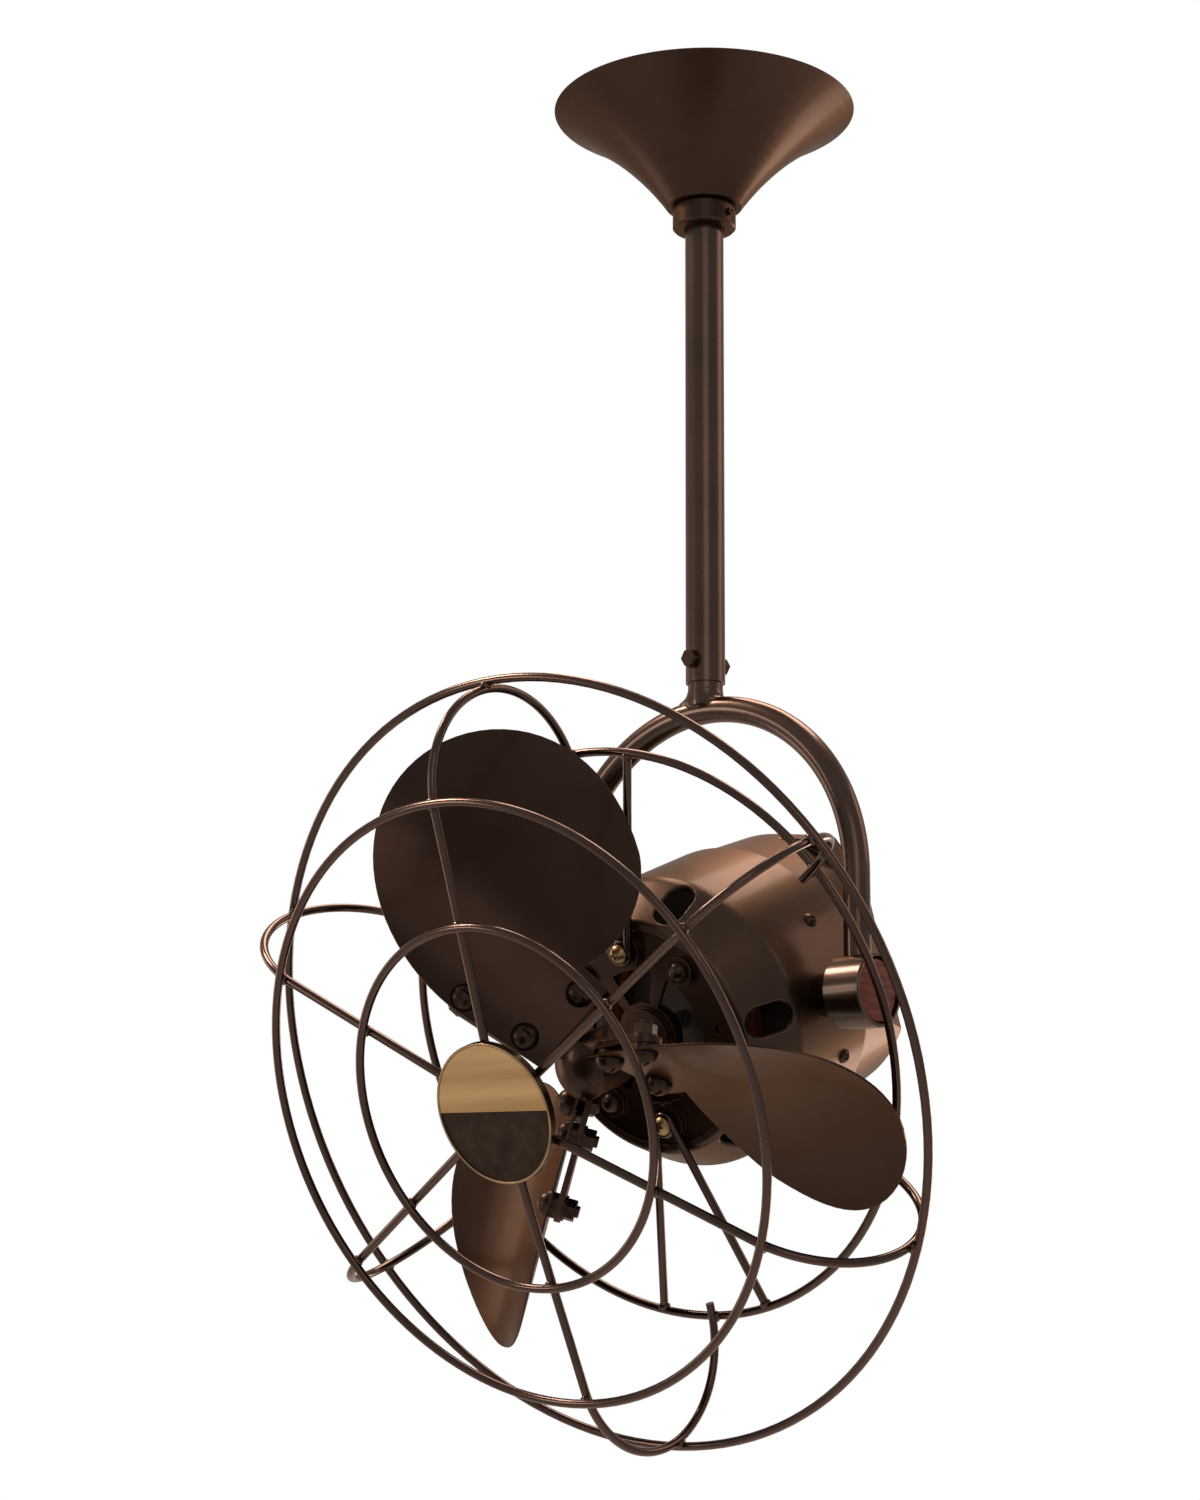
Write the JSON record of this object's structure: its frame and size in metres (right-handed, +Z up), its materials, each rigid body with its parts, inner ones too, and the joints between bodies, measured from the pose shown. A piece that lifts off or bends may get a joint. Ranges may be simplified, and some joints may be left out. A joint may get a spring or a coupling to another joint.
{
  "type": "directional ceiling fan",
  "caption": "Directional ceiling fan: caged fan head tilting in a horseshoe yoke on a downrod, with a trumpet canopy, dark bronze finish.",
  "frame": {"origin": "middle of the ceiling bracket's top face, on the downrod's axis, in the ceiling plane", "axes": "+Z up along the downrod, +X along the tilt axis towards the right-hand cup, -Y towards the side that the fan head faces"},
  "size_m": [0.4044, 0.3232, 0.7351],
  "materials": {
    "bronze": "dark oil-rubbed bronze, satin",
    "bronze_housing": "dark oil-rubbed bronze, satin",
    "dark_steel": "blackened steel fasteners",
    "zinc_steel": "zinc-plated, dull",
    "bright_steel": "ground",
    "core_steel": "varnished laminations",
    "windings": "varnished enamelled wire",
    "brass": "satin",
    "lacquered_wood": "reddish brown, lacquered",
    "rubber": "matt"
  },
  "bodies": {
    "mount": {"ceiling_bracket": "zinc_steel", "hanger_rubbers": "rubber", "hanger_bolt": "zinc_steel", "hanger_nut": "zinc_steel", "downrod": "bronze", "rod_bolt": "dark_steel", "rod_washers": "dark_steel", "rod_nut": "dark_steel", "yoke": "bronze", "yoke_cup_left": "bronze", "yoke_cup_right": "bronze"},
    "canopy_set": {"canopy": "bronze", "collar": "bronze", "collar_screw": "dark_steel"},
    "head": {"motor_front": "bronze_housing", "end_shield": "bronze", "rear_cover": "bronze_housing", "back_plate": "bronze_housing", "lug_screws": "dark_steel", "side_screws": "dark_steel", "stator_spacers": "zinc_steel", "stator_core": "core_steel", "windings": "windings", "bearings": "bright_steel", "pivot_stud_left": "dark_steel", "pivot_stud_right": "dark_steel", "pivot_nuts": "zinc_steel", "friction_washers": "rubber", "strut_top": "bronze", "strut_bottom": "bronze", "strut_screws": "brass", "cap_screws": "dark_steel", "ring_outer": "bronze", "ring_mid": "bronze", "ring_small": "bronze", "ring_rear": "bronze", "cage_rib_1": "bronze", "cage_rib_2": "bronze", "cage_rib_3": "bronze", "cage_rib_4": "bronze", "cage_rib_5": "bronze", "cage_rib_6": "bronze", "emblem": "brass", "emblem_plate": "bronze"},
    "rotor": {"shaft": "bright_steel", "rotor_core": "core_steel", "blade_carrier": "bronze", "hub_cap": "dark_steel", "blade_1": "bronze", "blade_2": "bronze", "blade_3": "bronze", "blade_screws": "dark_steel", "blade_spacers": "dark_steel", "blade_washers": "dark_steel", "blade_nuts": "dark_steel"},
    "left_knob": {"knob_left": "lacquered_wood", "knob_insert_left": "brass"},
    "right_knob": {"knob_right": "lacquered_wood", "knob_insert_right": "brass"}
  },
  "joints": [
    {"name": "canopy_slide", "type": "slide", "parent": "mount", "child": "canopy_set", "axis": [0, 0, 1], "range_m": [-0.2, 0]},
    {"name": "head_tilt", "type": "hinge", "parent": "mount", "child": "head", "pos_m": [0, 0, -0.505], "axis": [1, 0, 0], "range_deg": [-22.5, 157.5]},
    {"name": "fan_spin", "type": "hinge", "parent": "head", "child": "rotor", "pos_m": [0, -0.09239, -0.54327], "axis": [0, -0.9239, -0.3827], "continuous": true},
    {"name": "left_knob_turn", "type": "hinge", "parent": "head", "child": "left_knob", "pos_m": [-0.1, 0, -0.505], "axis": [1, 0, 0], "range_deg": [0, 360]},
    {"name": "right_knob_turn", "type": "hinge", "parent": "head", "child": "right_knob", "pos_m": [0.1, 0, -0.505], "axis": [1, 0, 0], "range_deg": [0, 360]}
  ]
}
